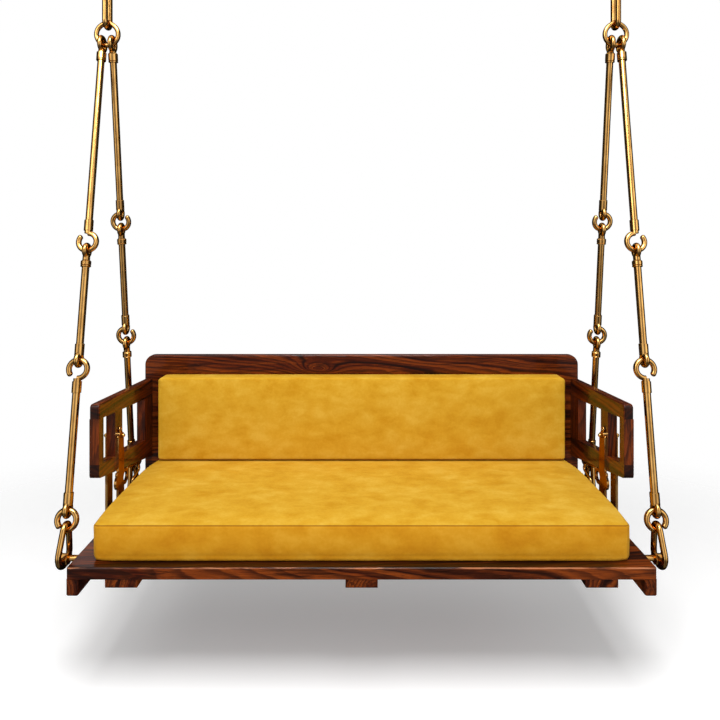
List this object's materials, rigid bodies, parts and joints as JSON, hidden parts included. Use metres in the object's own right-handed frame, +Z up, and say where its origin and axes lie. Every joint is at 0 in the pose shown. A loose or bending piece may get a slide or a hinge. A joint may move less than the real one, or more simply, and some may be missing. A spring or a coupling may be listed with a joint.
{
  "type": "hanging swing seat",
  "caption": "Indian jhoola swing: wooden bench with back panel, armrests and cushions, hung by brass rods, rings and hooks from ceiling plates.",
  "frame": {"origin": "centre of the four ceiling bolts, on the ceiling plane", "axes": "+Z up towards the ceiling, +X along the seat, -Y out of the front of the seat"},
  "size_m": [1.6774, 0.6251, 1.78],
  "materials": {
    "plank_wood": "gloss",
    "panel_wood": "gloss",
    "arm_wood": "gloss",
    "rail_wood": "satin",
    "hanger_brass": "satin",
    "ceiling_brass": "satin",
    "bracket_brass": "satin",
    "screws": "satin",
    "seat_fabric": "matte",
    "back_fabric": "matte"
  },
  "bodies": {
    "ceiling": {"ceiling_plate_left": "ceiling_brass", "ceiling_plate_right": "ceiling_brass"},
    "top_links": {"ceiling_link_left": "ceiling_brass", "ceiling_link_right": "ceiling_brass"},
    "left_hangers": {"ferrules_left": "hanger_brass", "front_lower_rod_left": "hanger_brass", "front_middle_rod_left": "hanger_brass", "front_upper_rod_left": "hanger_brass", "rear_joint_rings_left": "hanger_brass", "rear_lower_rod_left": "hanger_brass", "rear_middle_rod_left": "hanger_brass", "rear_upper_rod_left": "hanger_brass", "stud_rings_left": "hanger_brass", "top_ring_left": "hanger_brass"},
    "right_hangers": {"ferrules_right": "hanger_brass", "front_lower_rod_right": "hanger_brass", "front_middle_rod_right": "hanger_brass", "front_upper_rod_right": "hanger_brass", "rear_joint_rings_right": "hanger_brass", "rear_lower_rod_right": "hanger_brass", "rear_middle_rod_right": "hanger_brass", "rear_upper_rod_right": "hanger_brass", "stud_rings_right": "hanger_brass", "top_ring_right": "hanger_brass"},
    "seat": {"arm_bottom_rail_left": "arm_wood", "arm_bottom_rail_right": "arm_wood", "arm_bracket_left": "bracket_brass", "arm_bracket_right": "bracket_brass", "arm_centre_stile_left": "arm_wood", "arm_centre_stile_right": "arm_wood", "arm_front_stile_left": "arm_wood", "arm_front_stile_right": "arm_wood", "arm_rear_stile_left": "arm_wood", "arm_rear_stile_right": "arm_wood", "arm_top_rail_left": "arm_wood", "arm_top_rail_right": "arm_wood", "back_cushion": "back_fabric", "back_panel": "panel_wood", "batten_left": "rail_wood", "batten_middle": "rail_wood", "batten_right": "rail_wood", "bracket_bolt_left": "bracket_brass", "bracket_bolt_right": "bracket_brass", "end_rail_left": "rail_wood", "end_rail_right": "rail_wood", "frame_screws": "screws", "front_pear_link_left": "hanger_brass", "front_pear_link_right": "hanger_brass", "outer_strap_left": "bracket_brass", "outer_strap_right": "bracket_brass", "panel_screws": "screws", "rear_pear_link_left": "hanger_brass", "rear_pear_link_right": "hanger_brass", "scroll_brace_left": "bracket_brass", "scroll_brace_right": "bracket_brass", "seat_cushion": "seat_fabric", "seat_plank": "plank_wood", "studs_left": "hanger_brass", "studs_right": "hanger_brass"}
  },
  "joints": [
    {"name": "swing", "type": "hinge", "parent": "ceiling", "child": "top_links", "pos_m": [0, 0, -0.071], "axis": [1, 0, 0], "range_deg": [-25, 25]},
    {"name": "sway", "type": "hinge", "parent": "top_links", "child": "left_hangers", "pos_m": [-0.7965, 0, -0.2082], "axis": [0, 1, 0], "range_deg": [-4, 4]},
    {"name": "sway_right", "type": "hinge", "parent": "top_links", "child": "right_hangers", "pos_m": [0.7965, 0, -0.2082], "axis": [0, 1, 0], "range_deg": [-4, 4]},
    {"name": "seat_level", "type": "hinge", "parent": "left_hangers", "child": "seat", "pos_m": [-0.7965, 0, -1.642], "axis": [0, 1, 0], "range_deg": [-4, 4]}
  ],
  "couplings": [
    {"joint": "sway_right", "follows": "sway", "ratio": 1},
    {"joint": "seat_level", "follows": "sway", "ratio": -1}
  ]
}
